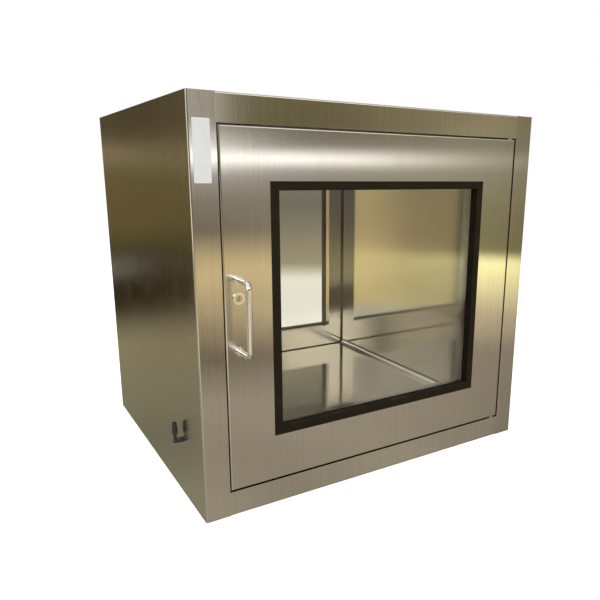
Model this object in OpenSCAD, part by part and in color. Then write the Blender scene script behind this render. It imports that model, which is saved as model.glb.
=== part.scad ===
/* [Cabinet] */
// Thickness of the stainless sheet
sheet_t = 1.5; // [1:0.1:2]
// Outside radius of the folded edges
bend_r = 2.5; // [2.2:0.1:3.5]
// Width of the stile on each side of a door
stile_w = 42; // [36:1:44]
// Height of the rail above and below a door
rail_h = 42; // [36:1:44]
// Width of the flanges that the sheets are joined by
flange_w = 18; // [14:1:24]
// Screws along each side of the removable top panel
top_screws = 4; // [2:1:6]

/* [Chamber] */
// Inside width of the work chamber
chamber_w = 500; // [440:1:700]
// Depth of the work chamber between the two door lands
chamber_d = 500; // [440:1:700]
// Inside height of the work chamber
chamber_h = 500; // [440:1:700]
// Radius of the coves along the chamber's four long corners
cove_r = 12; // [6:1:20]
// Distance from the middle of the chamber to each floor channel
channel_y = 150; // [100:1:190]
// Width of each floor channel's ridge
channel_w = 40; // [30:1:60]

/* [Doors] */
// Depth of the pocket that a door closes into
pocket_depth = 45; // [45:0.5:52]
// Gap between a door and the frame round it
door_gap = 2; // [1.8:0.1:4]
// Thickness of a door over its two skins
door_t = 38; // [36:0.5:38]
// Depth of the folded edges of the outer skin
skin_depth = 33; // [30:1:34]
// Depth of the folded edges of the inner skin
liner_depth = 15; // [8:1:15]
// Angle that the front door stands open, for looking at the model only
front_open = 0; // [0:5:110]
// Angle that the rear door stands open, for looking at the model only
rear_open = 0; // [0:5:110]

/* [Window] */
// Width of a door beside the clear opening of its window
door_stile = 94; // [92:1:140]
// Height of a door above and below that opening
door_rail = 93; // [75:1:140]
// Width of the black gasket's face
gasket_face = 14; // [12:0.5:18]
// How far the gasket's lip stands out of the door's face
gasket_proud = 2; // [1:0.1:3]
// Overlap of the gasket's lip on the door's skin
gasket_lap = 6; // [3:0.5:7]
// How far the pane lies behind the door's face
glass_recess = 10; // [6:0.5:12]
// Thickness of the pane
glass_t = 6; // [4:0.5:8]
// Gap round the pane inside its frame
glass_gap = 1; // [0.5:0.1:2]
// Thickness of the bedding tape behind the pane
tape_t = 2; // [1:0.1:3]
// Width of the frame's rebate that the tape covers
rebate_w = 6; // [4:0.5:8]

/* [Door seal] */
// Distance from the chamber's edge to the door seal
seal_inset = 7; // [5:0.5:8]
// Width of the door seal's base
seal_w = 12; // [10:0.5:12]
// Thickness of the door seal's base
seal_base_t = 2; // [1:0.1:2.5]
// Wall of the door seal's bulb
seal_wall = 1.3; // [1:0.1:2]
// Gap between the door seal and the land it closes on
seal_relief = 0.3; // [0.3:0.1:1]
// Distance from the door seal to the upper and lower edges of the door
seal_margin = 17; // [15:0.5:30]

/* [Pivots] */
// Distance from a door's edge to its pivot axis
pivot_edge = 10; // [9.5:0.1:12]
// Distance from a door's face to its pivot axis
pivot_back = 7; // [6.8:0.1:8]
// Radius of the pivot pins
pin_r = 3; // [2.5:0.1:3.5]
// Running clearance of a pin in its bush
pin_clear = 0.05; // [0.03:0.01:0.1]
// Wall of the bushes
bush_wall = 1.8; // [1.2:0.1:2]
// End play between a bush and the pocket wall
bush_play = 0.3; // [0.3:0.1:1]
// Height of the blocks that hold pins and bushes
block_h = 12; // [8:1:16]
// Length of those blocks along the door
block_l = 24; // [20:1:30]

/* [Handle] */
// Distance from the door's free edge to the handle and the lock
handle_inset = 23; // [22:1:24]
// Height of the handle's middle above the middle of the door
handle_rise = 4; // [-60:1:60]
// Distance between the handle's two feet
handle_c = 114; // [90:1:140]
// Projection of the handle from the door
handle_out = 45; // [35:1:50]
// Radius of the handle's bar
handle_r = 4.5; // [4:0.1:5.5]
// Centre-line radius of the handle's bends
handle_bend = 9; // [8:1:16]
// Radius of the handle's round feet
foot_r = 7.5; // [7:0.1:9]
// Thickness of the handle's round feet
foot_t = 3; // [2:0.1:4]
// Radius of the screws that hold the handle
handle_screw_r = 2.5; // [2:0.1:3]
// Length of those screws inside the handle
handle_screw_in = 12; // [8:1:14]

/* [Lock] */
// Distance from the handle's upper foot down to the lock
lock_drop = 29; // [22:1:34]
// Radius of the lock's barrel
barrel_r = 8; // [7.5:0.1:9]
// Radius of the lock's front collar
collar_r = 9.5; // [9.2:0.1:11]
// Thickness of the lock's front collar
collar_t = 2; // [1.5:0.1:3]
// Radius of the turning plug
plug_r = 5.6; // [5:0.1:6]
// Running clearance of the plug in its barrel
plug_clear = 0.05; // [0.03:0.01:0.1]
// Distance from the door's face to the cam
cam_back = 18; // [16:0.5:18.5]
// Thickness of the cam
cam_t = 2.5; // [2:0.1:3]
// Width of the cam
cam_w = 14; // [10:0.5:16]
// How far the cam's tip reaches past the pocket wall
cam_hook = 12; // [8:0.5:20]
// Clearance round the cam in its slots
slot_clear = 1; // [0.6:0.1:1.5]
// Gap between the lock's barrel and the cam
cam_gap = 0.3; // [0.3:0.1:0.6]
// Thickness of the striking plate behind the pocket wall
strike_t = 3; // [2:0.1:5]
// Width of the flats of the lock's nut
nut_flats = 22; // [20:0.5:26]
// Thickness of the lock's nut
nut_t = 4; // [3:0.5:6]

/* [Door magnets] */
// Gap between a door seal and the magnet beside it
magnet_inset = 4; // [3:0.5:8]
// Distance from a magnet to the door's free edge
magnet_margin = 6; // [5:0.5:12]
// Width of a door magnet
magnet_w = 22; // [18:1:22]
// Height of a door magnet
magnet_h = 100; // [70:1:120]
// Depth of a door magnet behind its face
magnet_d = 26; // [20:1:30]
// Height of a magnet's middle above the middle of the door
magnet_rise = 140; // [120:1:160]
// Thickness of the plate that a magnet pulls
plate_t = 3; // [2:0.1:3.5]
// Gap between a magnet's face and its plate
magnet_gap = 0.5; // [0.3:0.1:1]
// Thickness of a magnet's mounting lugs
lug_t = 3; // [2:0.1:5]

/* [Lamp] */
// Gap between each end of the lamp's batten and the chamber's side wall
batten_gap = 13.5; // [10:0.5:60]
// Length of the batten outside each holder
batten_end = 6; // [3:0.5:15]
// Radius of the lamp's tube
tube_r = 12.75; // [8:0.25:13]
// Length of each end cap on the tube
cap_l = 9; // [6:0.5:14]
// Distance from the lamp's batten to the tube
tube_drop = 2; // [1:0.5:4]
// Width of the lamp's batten
batten_w = 50; // [40:1:70]
// Height of the lamp's batten
batten_h = 25; // [20:1:32]
// Thickness of the lamp's holders
holder_t = 12; // [10:1:14]

/* [Electrics] */
// Length of the lamp's ballast
ballast_l = 180; // [120:1:220]
// Width of the lamp's ballast
ballast_w = 40; // [30:1:50]
// Height of the lamp's ballast
ballast_h = 28; // [20:1:40]
// Length of the interlock controller
control_l = 120; // [90:1:150]
// Width of the interlock controller
control_w = 80; // [60:1:110]
// Height of the interlock controller
control_h = 42; // [30:1:55]
// Thickness of the mounting feet of both
feet_t = 2; // [1.5:0.1:3]
// Distance from the rear of the cabinet to the middle of the ballast
ballast_back = 175; // [160:1:200]
// Distance from the front of the cabinet to the middle of the controller
control_back = 185; // [170:1:200]

/* [Cable gland] */
// Distance from the front of the cabinet to the gland
gland_y = 117; // [90:1:250]
// Height of the gland above the base
gland_z = 99; // [85:1:200]
// Radius of the gland's thread
gland_r = 4; // [3.6:0.1:5]
// Distance from the side panel to the gland's upright neck
gland_out = 9.5; // [9.5:0.5:14]
// Height of the gland's mouth above its entry
gland_rise = 34; // [32:1:40]
// Radius of the gland's upright neck
neck_r = 2.8; // [2.8:0.1:3.4]
// Length of the dome nut on top of the gland
dome_l = 20; // [18:0.5:21]
// Radius of the cable that the gland takes
cable_r = 1.5; // [1:0.1:1.6]
// Wall of the gland's rubber sleeve
sleeve_wall = 1; // [0.8:0.1:1.2]
// Length of the gland's rubber sleeve
sleeve_l = 12; // [8:0.5:14]

/* [Hidden] */
$fn = 48;

// Frame: origin at the middle of the base, +X to the right seen from the front, +Y to the rear, +Z up
// Each size outside the chamber is the one inside it plus what lies between
door_w = chamber_w + 2 * (seal_inset + seal_w + magnet_inset + magnet_w + magnet_margin);
door_h = chamber_h + 2 * (seal_inset + seal_w + seal_margin);
pocket_w = door_w + 2 * door_gap;
pocket_h = door_h + 2 * door_gap;
body_w = pocket_w + 2 * stile_w;
body_d = chamber_d + 2 * pocket_depth;
body_h = pocket_h + 2 * rail_h;
window_w = door_w - 2 * door_stile;
window_h = door_h - 2 * door_rail;
half_w = body_w / 2;
half_d = body_d / 2;
mid_z = body_h / 2;
inner_r = bend_r - sheet_t;
over = 1;

land_y = -half_d + pocket_depth;
door_back_y = -half_d + door_t;
ceiling_z = mid_z + chamber_h / 2;
floor_z = mid_z - chamber_h / 2;

// Window section, measured outward from the edge of the clear opening
frame_out = gasket_face - gasket_lap;
rebate_in = frame_out - rebate_w;
tape_y = glass_recess + glass_t;
rebate_y = tape_y + tape_t;

// Door seal, between the chamber's edge and the magnets
seal_h = pocket_depth - door_t - seal_relief;
bulb_r = min(seal_w / 2, (seal_h + seal_base_t) / 2) - 0.2;
seal_open_w = chamber_w + 2 * seal_inset;
seal_open_h = chamber_h + 2 * seal_inset;

// Pivots
pivot_x = door_w / 2 - pivot_edge;
pivot_y = -half_d + pivot_back;
bush_r = pin_r + pin_clear + bush_wall;
bush_flange_r = bush_r + 1.2;
bush_flange_t = door_gap - bush_play;
pin_head_r = pin_r + 1.5;
pin_head_t = 2;

// Handle and lock
grip_x = -door_w / 2 + handle_inset;
grip_z = mid_z + handle_rise;
lock_z = grip_z + handle_c / 2 - lock_drop;
grip_y = -half_d - handle_out + handle_r;
cam_y = -half_d + cam_back;
cam_l = handle_inset + door_gap + cam_hook;
cam_swing = sqrt(cam_l * cam_l + cam_w * cam_w / 4);
hub_r = barrel_r + 0.5;
tail_w = 7;
hole_clear = 0.2;

// Magnets and the plates on the doors
magnet_x = chamber_w / 2 + seal_inset + seal_w + magnet_inset + magnet_w / 2;
magnet_z = mid_z + magnet_rise;
plate_y = door_back_y + plate_t;
magnet_y = plate_y + magnet_gap;

// Lamp
batten_l = chamber_w - 2 * batten_gap;
tube_l = batten_l - 2 * (batten_end + holder_t);
tube_z = ceiling_z - batten_h - tube_drop - tube_r;

// Gland
leg_x = -half_w - gland_out;
gland_cy = -half_d + gland_y;
mouth_z = gland_z + gland_rise;
bore_r = cable_r + sleeve_wall;
cup_r = bore_r + 0.9;
dome_r = cup_r + 0.8;
thread_in = 12;
locknut_t = 5;
flange_t = 3;

// ---- Shared shapes ----

// A rectangle of w by h with round corners, centred
module round_rect(w, h, r) {
    square([w - 2 * r, h], center = true);
    square([w, h - 2 * r], center = true);
    for (x = [-1, 1], y = [-1, 1])
        translate([x * (w / 2 - r), y * (h / 2 - r)]) circle(r);
}

// Stands a flat shape up in the XZ plane about the door's middle, and makes it deep from y to y + depth
module upright(y, depth) {
    translate([0, y + depth, mid_z]) rotate([90, 0, 0]) linear_extrude(depth) children();
}

// A cylinder along X, Y or Z that starts at the given point
module rod_x(from, l, r) { translate(from) rotate([0, 90, 0]) cylinder(h = l, r = r); }
module rod_y(from, l, r) { translate(from) rotate([-90, 0, 0]) cylinder(h = l, r = r); }
module rod_z(from, l, r) { translate(from) cylinder(h = l, r = r); }

// A hexagonal prism along Y, measured over its flats
module hex_y(from, l, flats) {
    translate(from) rotate([-90, 0, 0]) cylinder(h = l, r = flats / sqrt(3), $fn = 6);
}

// Section of a shallow pan: the face lies on y = 0 and the edges run back, with round folds between
module pan_section(w, depth, r) {
    translate([-w / 2, r]) square([w, depth - r]);
    translate([-w / 2 + r, 0]) square([w - 2 * r, depth]);
    for (side = [-1, 1]) translate([side * (w / 2 - r), r]) circle(r);
}

// The outer form of a pan, round on all four edges of its face
module pan_form(w, h, depth, r) {
    intersection() {
        translate([0, 0, -h / 2]) linear_extrude(h) pan_section(w, depth, r);
        translate([-w / 2, 0, 0]) rotate([90, 0, 90]) linear_extrude(w)
            mirror([1, -1, 0]) pan_section(h, depth, r);
    }
}

// A folded sheet pan that opens towards +Y
module pan(w, h, depth) {
    difference() {
        pan_form(w, h, depth, bend_r);
        translate([0, sheet_t, 0])
            pan_form(w - 2 * sheet_t, h - 2 * sheet_t, depth, inner_r);
    }
}

// One side, on +X, of a frame with mitred ends round an opening of w by h
module frame_side(w, h, reach) {
    intersection() {
        translate([w / 2, 0, -h / 2 - reach]) linear_extrude(h + 2 * reach) children();
        rotate([90, 0, 0]) linear_extrude(2 * body_d, center = true)
            polygon([[w / 2, -h / 2], [w / 2 + reach, -h / 2 - reach],
                     [w / 2 + reach, h / 2 + reach], [w / 2, h / 2]]);
    }
}

// A frame with mitred corners. Its section has x outward from the opening and y towards the rear
module mitred_frame(w, h, reach) {
    for (turn = [0, 180]) rotate([0, turn, 0]) frame_side(w, h, reach) children();
    for (turn = [90, 270]) rotate([0, turn, 0]) frame_side(h, w, reach) children();
}

// The rear door is the front door turned half round
module at_rear() { rotate([0, 0, 180]) children(); }

// Everything that swings with a door
module swung(angle) {
    translate([pivot_x, pivot_y, 0]) rotate([0, 0, angle])
        translate([-pivot_x, -pivot_y, 0]) children();
}

// ---- Cabinet sheets ----

// Section of the folded wrapper, w by d over its faces
module wrapper_section(w, d) {
    difference() {
        round_rect(w, d, bend_r);
        round_rect(w - 2 * sheet_t, d - 2 * sheet_t, inner_r);
    }
}

// A side with its two full-height stiles, and a flange at each end for the top and bottom panels
module side_sheet() {
    linear_extrude(body_h) intersection() {
        wrapper_section(body_w, body_d);
        translate([-half_w - over, -half_d - over]) square([stile_w + over, body_d + 2 * over]);
    }
    difference() {
        for (z = [sheet_t, body_h - 2 * sheet_t])
            translate([-half_w + sheet_t, -half_d + flange_w, z])
                cube([flange_w, body_d - 2 * flange_w, sheet_t]);
        at_top_screws() top_screw_form();
    }
}

module left_side_panel() {
    color("tan") difference() {
        side_sheet();
        rod_x([-half_w - over, gland_cy, gland_z], sheet_t + 2 * over, gland_r + hole_clear);
    }
}

module right_side_panel() { color("tan") mirror([1, 0, 0]) side_sheet(); }

// The upper panel, with a rail folded down along the front and another along the rear
module end_sheet() {
    translate([-pocket_w / 2, 0, mid_z]) rotate([90, 0, 90]) linear_extrude(pocket_w)
        intersection() {
            wrapper_section(body_d, body_h);
            translate([-half_d - over, mid_z - rail_h]) square([body_d + 2 * over, rail_h + over]);
        }
    for (side = [0, 1]) mirror([side, 0, 0])
        translate([pocket_w / 2, -half_d + sheet_t, body_h - sheet_t])
            cube([stile_w - sheet_t, body_d - 2 * sheet_t, sheet_t]);
}

screw_head_r = 4;
screw_head_t = 2;
screw_r = 2;
screw_l = 8;

// Puts its children at every screw of the top panel, with the head's top on z = 0
module at_top_screws() {
    pitch = (body_d - 4 * flange_w) / (top_screws - 1);
    for (side = [-1, 1], i = [0 : top_screws - 1])
        translate([side * (half_w - sheet_t - flange_w / 2),
                   -half_d + 2 * flange_w + i * pitch, body_h])
            children();
}

// A countersunk screw hanging down from z = 0
module countersunk(head_r, head_t, r, l) {
    translate([0, 0, -head_t]) cylinder(h = head_t, r1 = r, r2 = head_r);
    translate([0, 0, -l]) cylinder(h = l, r = r);
}

module top_screw_form() { countersunk(screw_head_r, screw_head_t, screw_r, screw_l); }

module top_panel() {
    color("tan") difference() {
        end_sheet();
        at_top_screws() top_screw_form();
    }
}

module bottom_panel() {
    color("tan") translate([0, 0, body_h]) mirror([0, 0, 1]) end_sheet();
}

// Screws with a cross slot in each head
module top_panel_screws() {
    color("silver") at_top_screws() difference() {
        top_screw_form();
        for (turn = [0, 90]) rotate([0, 0, turn]) cube([4, 0.9, 2], center = true);
    }
}

// ---- Door pockets and chamber ----

// The slot that the cam turns through, at a wall w away from the lock's axis
module cam_slot(x, depth, w) {
    below = sqrt(max(1, cam_swing * cam_swing - w * w)) + slot_clear;
    above = cam_w / 2 + slot_clear;
    translate([x, cam_y - slot_clear, lock_z - below])
        cube([depth, cam_t + 2 * slot_clear, below + above]);
}

// The folded pocket that a door closes into, with the land that its seal meets
module pocket_frame() {
    color("burlywood") difference() {
        upright(-half_d + sheet_t, pocket_depth)
            square([pocket_w + 2 * sheet_t, pocket_h + 2 * sheet_t], center = true);
        upright(-half_d, pocket_depth) square([pocket_w, pocket_h], center = true);
        upright(land_y - over, sheet_t + 2 * over)
            round_rect(chamber_w + 2 * sheet_t, chamber_h + 2 * sheet_t, cove_r + sheet_t);
        rod_z([pivot_x, pivot_y, mid_z - pocket_h / 2 - sheet_t - over],
              pocket_h + 2 * sheet_t + 2 * over, pin_r + hole_clear);
        cam_slot(-pocket_w / 2 - sheet_t - over, sheet_t + 2 * over, handle_inset + door_gap);
        translate([-magnet_x, land_y - over, magnet_z]) magnet_block(sheet_t + 2 * over);
    }
}

// The chamber: one sheet tunnel with coved corners, welded into the lands
module chamber_liner() {
    color("wheat") difference() {
        upright(land_y, -2 * land_y) difference() {
            round_rect(chamber_w + 2 * sheet_t, chamber_h + 2 * sheet_t, cove_r + sheet_t);
            round_rect(chamber_w, chamber_h, cove_r);
        }
        rod_z([ballast_l / 4, 0, ceiling_z - over], sheet_t + 2 * over, wire_hole_r);
    }
}

wire_hole_r = 5;
wire_r = 2.5;
lead_out = 20;

// Hat channels that carry the chamber floor on the bottom panel
module floor_channels() {
    rise = floor_z - 2 * sheet_t;
    color("lightgray") for (y = [-channel_y, channel_y])
        translate([-chamber_w / 2 + cove_r, y, sheet_t]) rotate([90, 0, 90])
            linear_extrude(chamber_w - 2 * cove_r) {
                translate([-channel_w / 2, rise - sheet_t]) square([channel_w, sheet_t]);
                for (side = [0, 1]) mirror([side, 0]) {
                    translate([channel_w / 2 - sheet_t, 0]) square([sheet_t, rise]);
                    translate([channel_w / 2 - sheet_t, 0]) square([flange_w, sheet_t]);
                }
            }
}

// ---- Pivots, strikes and magnets on the cabinet ----

// Puts its children at the lower end of a pivot, and turned over at the upper end
module at_both_ends() {
    translate([pivot_x, pivot_y, mid_z - pocket_h / 2]) children();
    translate([pivot_x, pivot_y, mid_z + pocket_h / 2]) mirror([0, 0, 1]) children();
}

// The block behind the pocket wall, seated on the rail and drilled for its pin
module pivot_bracket() {
    difference() {
        translate([-block_l / 2, -pivot_back + sheet_t, -sheet_t - block_h])
            cube([block_l - over, 2 * pivot_back, block_h]);
        rod_z([0, 0, -sheet_t - block_h - over], block_h + 2 * over, pin_r);
    }
}

module pivot_brackets() {
    color("gray") {
        at_both_ends() pivot_bracket();
        at_rear() at_both_ends() pivot_bracket();
    }
}

// A headed pin with a rounded nose, pushed through its bracket into the door's bush
module pivot_pin() {
    nose = 1;
    below = sheet_t + block_h;
    l = below + door_gap + sheet_t + block_h - over;
    rod_z([0, 0, -below], l - nose, pin_r);
    translate([0, 0, -below + l - nose]) cylinder(h = nose, r1 = pin_r, r2 = pin_r - nose);
    rod_z([0, 0, -below - pin_head_t], pin_head_t, pin_head_r);
}

module pivot_pins() {
    color("silver") {
        at_both_ends() pivot_pin();
        at_rear() at_both_ends() pivot_pin();
    }
}

// The plate that backs the pocket wall where the cam hooks in
module lock_strike() {
    margin = 14;
    tall = 2 * cam_swing + margin;
    difference() {
        translate([-pocket_w / 2 - sheet_t - strike_t, cam_y + cam_t / 2 - margin,
                   lock_z - cam_swing / 2 - tall / 2 + cam_w / 2])
            cube([strike_t, 2 * margin, tall]);
        cam_slot(-pocket_w / 2 - sheet_t - strike_t - over, strike_t + 2 * over,
                 handle_inset + door_gap);
    }
}

module lock_strikes() {
    color("gray") {
        lock_strike();
        at_rear() lock_strike();
    }
}

// The magnet's block, of the given depth from y = 0
module magnet_block(depth) {
    translate([-magnet_w / 2, 0, -magnet_h / 2]) cube([magnet_w, depth, magnet_h]);
}

// A holding magnet: its poles stand through the land, and its lugs are fixed behind it
module door_magnet() {
    groove_w = 3;
    groove_d = 0.8;
    lug_y = land_y + sheet_t;
    lug_l = magnet_h + 2 * flange_w;
    difference() {
        union() {
            translate([-magnet_x, magnet_y, magnet_z]) magnet_block(magnet_d);
            translate([-magnet_x - magnet_w / 2, lug_y, magnet_z - lug_l / 2])
                cube([magnet_w, lug_t, lug_l]);
        }
        for (side = [-1, 1])
            translate([-magnet_x + side * magnet_w / 5 - groove_w / 2, magnet_y - over,
                       magnet_z - magnet_h / 2 + groove_w])
                cube([groove_w, groove_d + over, magnet_h - 2 * groove_w]);
    }
}

module door_magnets() {
    color("dimgray") {
        door_magnet();
        at_rear() door_magnet();
    }
}

// ---- Lamp ----

// Section of the batten: a trough with sloping sides, flat on the ceiling
module lamp_batten() {
    slope = batten_w / 5;
    color("white") difference() {
        translate([-batten_l / 2, 0, ceiling_z]) rotate([90, 0, 90]) linear_extrude(batten_l)
            polygon([[-batten_w / 2, 0], [batten_w / 2, 0], [batten_w / 2, -batten_h / 3],
                     [batten_w / 2 - slope, -batten_h], [slope - batten_w / 2, -batten_h],
                     [-batten_w / 2, -batten_h / 3]]);
        translate([-batten_l / 2 + sheet_t, 0, ceiling_z]) rotate([90, 0, 90])
            linear_extrude(batten_l - 2 * sheet_t)
            polygon([[sheet_t - batten_w / 2, over], [batten_w / 2 - sheet_t, over],
                     [batten_w / 2 - sheet_t, -batten_h / 3],
                     [batten_w / 2 - slope - sheet_t, sheet_t - batten_h],
                     [slope + sheet_t - batten_w / 2, sheet_t - batten_h],
                     [sheet_t - batten_w / 2, -batten_h / 3]]);
    }
}

// Holders at both ends of the tube, round at the bottom
module lamp_holders() {
    wide = tube_r + 1;
    color("ivory") for (side = [0, 1]) mirror([side, 0, 0]) {
        rod_x([tube_l / 2, 0, tube_z], holder_t, wide);
        translate([tube_l / 2, -wide, tube_z])
            cube([holder_t, 2 * wide, tube_r + tube_drop]);
    }
}

module lamp_tube() {
    color("aliceblue") rod_x([-tube_l / 2 + cap_l, 0, tube_z], tube_l - 2 * cap_l, tube_r - 0.25);
}

// Metal caps on the tube's ends
module lamp_caps() {
    color("silver") for (side = [0, 1]) mirror([side, 0, 0])
        rod_x([tube_l / 2 - cap_l, 0, tube_z], cap_l, tube_r);
}

// ---- Electrics above the chamber ----

roof_z = ceiling_z + sheet_t;
ballast_y = half_d - ballast_back;
ballast_edge_r = 3;
control_y = -half_d + control_back;
control_edge_r = 4;
tray_rise = 8;
foot_l = 12;
foot_hole_r = 2.2;
terminal_d = 8;

// A closed box on two drilled feet, standing on the roof of the chamber
module footed_box(l, w, h, edge) {
    difference() {
        union() {
            translate([-l / 2, 0, h / 2]) rotate([90, 0, 90]) linear_extrude(l)
                round_rect(w, h, edge);
            translate([-l / 2 - foot_l, -w / 2, 0]) cube([l + 2 * foot_l, w, feet_t]);
        }
        for (side = [-1, 1]) rod_z([side * (l + foot_l) / 2, 0, -over], feet_t + 2 * over, foot_hole_r);
    }
}

module lamp_ballast() {
    color("whitesmoke") translate([0, ballast_y, roof_z])
        footed_box(ballast_l, ballast_w, ballast_h, ballast_edge_r);
}

// The controller, with a row of terminals along its front
module interlock_controller() {
    ways = 8;
    margin = 10;
    pitch = (control_l - 2 * margin) / ways;
    color("darkslategray") translate([0, control_y, roof_z]) {
        footed_box(control_l, control_w, control_h, control_edge_r);
        for (i = [0 : ways - 1])
            translate([-control_l / 2 + margin + i * pitch, -control_w / 2 - terminal_d, feet_t])
                cube([pitch - 2, terminal_d + over, control_h / 2]);
    }
}

// A cable through a list of points, with a swelling at every turn and flat ends
module cable_run(points) {
    last = len(points) - 1;
    for (i = [0 : last - 1]) {
        way = points[i + 1] - points[i];
        translate(points[i]) rotate([0, acos(way.z / norm(way)), atan2(way.y, way.x)])
            cylinder(h = norm(way), r = wire_r);
    }
    for (i = [1 : last - 1]) translate(points[i]) sphere(wire_r + 0.3);
}

// Inner wiring: supply from the gland, ballast feed, lamp lead, and a lead to each door magnet
module wiring_loom() {
    riser_x = -(half_w + chamber_w / 2) / 2;
    tray_z = roof_z + tray_rise;
    upper_z = tray_z + 4 * wire_r;
    terminal_y = control_y - control_w / 2 - terminal_d;
    way_y = terminal_y - lead_out;
    magnet_back = magnet_y + magnet_d;
    magnet_way = magnet_back + lead_out;
    feed_x = max(control_l, ballast_l) / 2 + foot_l + lead_out;
    color("black") {
        cable_run([[-half_w + thread_in, gland_cy, gland_z], [riser_x, gland_cy, gland_z],
                   [riser_x, gland_cy, tray_z], [-control_l / 4, gland_cy, tray_z],
                   [-control_l / 4, terminal_y, tray_z]]);
        cable_run([[control_l / 4, terminal_y, tray_z], [control_l / 4, way_y, tray_z],
                   [feed_x, way_y, tray_z], [feed_x, ballast_y, tray_z],
                   [ballast_l / 2, ballast_y, tray_z]]);
        cable_run([[ballast_l / 4, 0, ceiling_z - batten_h / 2], [ballast_l / 4, 0, tray_z],
                   [ballast_l / 4, ballast_y - ballast_w / 2, tray_z]]);
        cable_run([[-magnet_x, magnet_back, magnet_z], [-magnet_x, magnet_way, magnet_z],
                   [-magnet_x, magnet_way, upper_z], [-control_l / 8, magnet_way, upper_z],
                   [-control_l / 8, terminal_y, upper_z]]);
        cable_run([[magnet_x, -magnet_back, magnet_z], [magnet_x, -magnet_way, magnet_z],
                   [magnet_x, -magnet_way, upper_z], [magnet_x, way_y, upper_z],
                   [control_l / 8, way_y, upper_z], [control_l / 8, terminal_y, upper_z]]);
    }
}

// ---- Cable gland in the left side ----

neck_bore = cable_r + 0.3;
seat_r = bore_r + 0.4;
collar_z = mouth_z - dome_l;
thread_top = mouth_z - 5;
shoulder_t = 1.5;
cup_floor = 2;

// The elbow: a threaded stub through the panel, a hexagonal flange, and a slim neck that turns
// up into a threaded cup
module gland_elbow() {
    color("dimgray") difference() {
        union() {
            rod_x([leg_x, gland_cy, gland_z], gland_out + thread_in, gland_r);
            translate([-half_w - flange_t, gland_cy, gland_z]) rotate([0, 90, 0])
                cylinder(h = flange_t, r = gland_r + 1.2, $fn = 6);
            translate([leg_x, gland_cy, gland_z]) sphere(gland_r);
            rod_z([leg_x, gland_cy, gland_z], collar_z - gland_z, neck_r);
            rod_z([leg_x, gland_cy, collar_z - shoulder_t], shoulder_t, cup_r + 0.5);
            rod_z([leg_x, gland_cy, collar_z - over], thread_top - collar_z + over, cup_r);
        }
        rod_x([leg_x, gland_cy, gland_z], gland_out + thread_in + over, neck_bore);
        translate([leg_x, gland_cy, gland_z]) sphere(neck_bore);
        rod_z([leg_x, gland_cy, gland_z], collar_z + cup_floor + over - gland_z, neck_bore);
        rod_z([leg_x, gland_cy, collar_z + cup_floor], dome_l, bore_r);
    }
}

module gland_locknut() {
    color("dimgray") difference() {
        translate([-half_w + sheet_t, gland_cy, gland_z]) rotate([0, 90, 0])
            cylinder(h = locknut_t, r = gland_r + 3, $fn = 6);
        rod_x([-half_w, gland_cy, gland_z], locknut_t + 2 * sheet_t, gland_r);
    }
}

// The dome nut that squeezes the sleeve on the cable
module gland_dome_nut() {
    grip_l = thread_top - collar_z - 2;
    color("dimgray") difference() {
        union() {
            rod_z([leg_x, gland_cy, collar_z], grip_l, dome_r);
            translate([leg_x, gland_cy, collar_z + grip_l])
                cylinder(h = dome_l - grip_l, r1 = dome_r, r2 = seat_r + 0.6);
            for (turn = [0 : 45 : 315]) translate([leg_x, gland_cy, collar_z]) rotate([0, 0, turn])
                translate([dome_r - 0.4, -0.6, 0]) cube([0.8, 1.2, grip_l - 1]);
        }
        rod_z([leg_x, gland_cy, collar_z - over], thread_top - collar_z + over, cup_r);
        rod_z([leg_x, gland_cy, collar_z - over], mouth_z - collar_z + 2 * over, seat_r);
    }
}

// The rubber sleeve that the cable passes through
module gland_sleeve() {
    color("black") difference() {
        union() {
            rod_z([leg_x, gland_cy, mouth_z - sleeve_l], sleeve_l, bore_r);
            rod_z([leg_x, gland_cy, thread_top], mouth_z - thread_top, seat_r);
        }
        rod_z([leg_x, gland_cy, mouth_z - sleeve_l - over], sleeve_l + 2 * over, cable_r);
    }
}

// ---- A door, drawn as the front one ----

// The clear hole of the given size beyond the window opening, through a skin
module window_hole(out, y, depth) {
    upright(y, depth) square([window_w + 2 * out, window_h + 2 * out], center = true);
}

// Puts its children at the two feet of the handle, on the door's face
module at_feet() {
    for (side = [-1, 1]) translate([grip_x, -half_d, grip_z + side * handle_c / 2]) children();
}

// The outer skin: a folded pan, cut for the window, bushes, lock, handle screws and cam
module door_skin() {
    color("tan") difference() {
        translate([0, -half_d, mid_z]) pan(door_w, door_h, skin_depth);
        window_hole(frame_out, -half_d - over, sheet_t + 2 * over);
        rod_z([pivot_x, pivot_y, mid_z - door_h / 2 - over], door_h + 2 * over, bush_r);
        rod_y([grip_x, -half_d - over, lock_z], sheet_t + 2 * over, barrel_r + hole_clear);
        at_feet() rod_y([0, -over, 0], sheet_t + 2 * over, handle_screw_r + hole_clear);
        cam_slot(-door_w / 2 - over, sheet_t + 2 * over, handle_inset - sheet_t);
    }
}

// The inner skin: a shallower pan inside the edges of the outer one
module door_liner() {
    color("burlywood") difference() {
        translate([0, door_back_y, mid_z]) mirror([0, 1, 0])
            pan(door_w - 2 * sheet_t, door_h - 2 * sheet_t, liner_depth);
        window_hole(rebate_in, door_back_y - sheet_t - over, sheet_t + 2 * over);
        rod_y([-magnet_x, door_back_y - sheet_t - over, magnet_z], sheet_t + 2 * over,
              screw_r + hole_clear);
    }
}

// The steel frame between the skins, stepped to make the rebate that the pane beds on
module window_frame() {
    color("gray") translate([0, -half_d, mid_z])
        mitred_frame(window_w, window_h, frame_out + sheet_t) {
            window_frame_section();
        }
}

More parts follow.
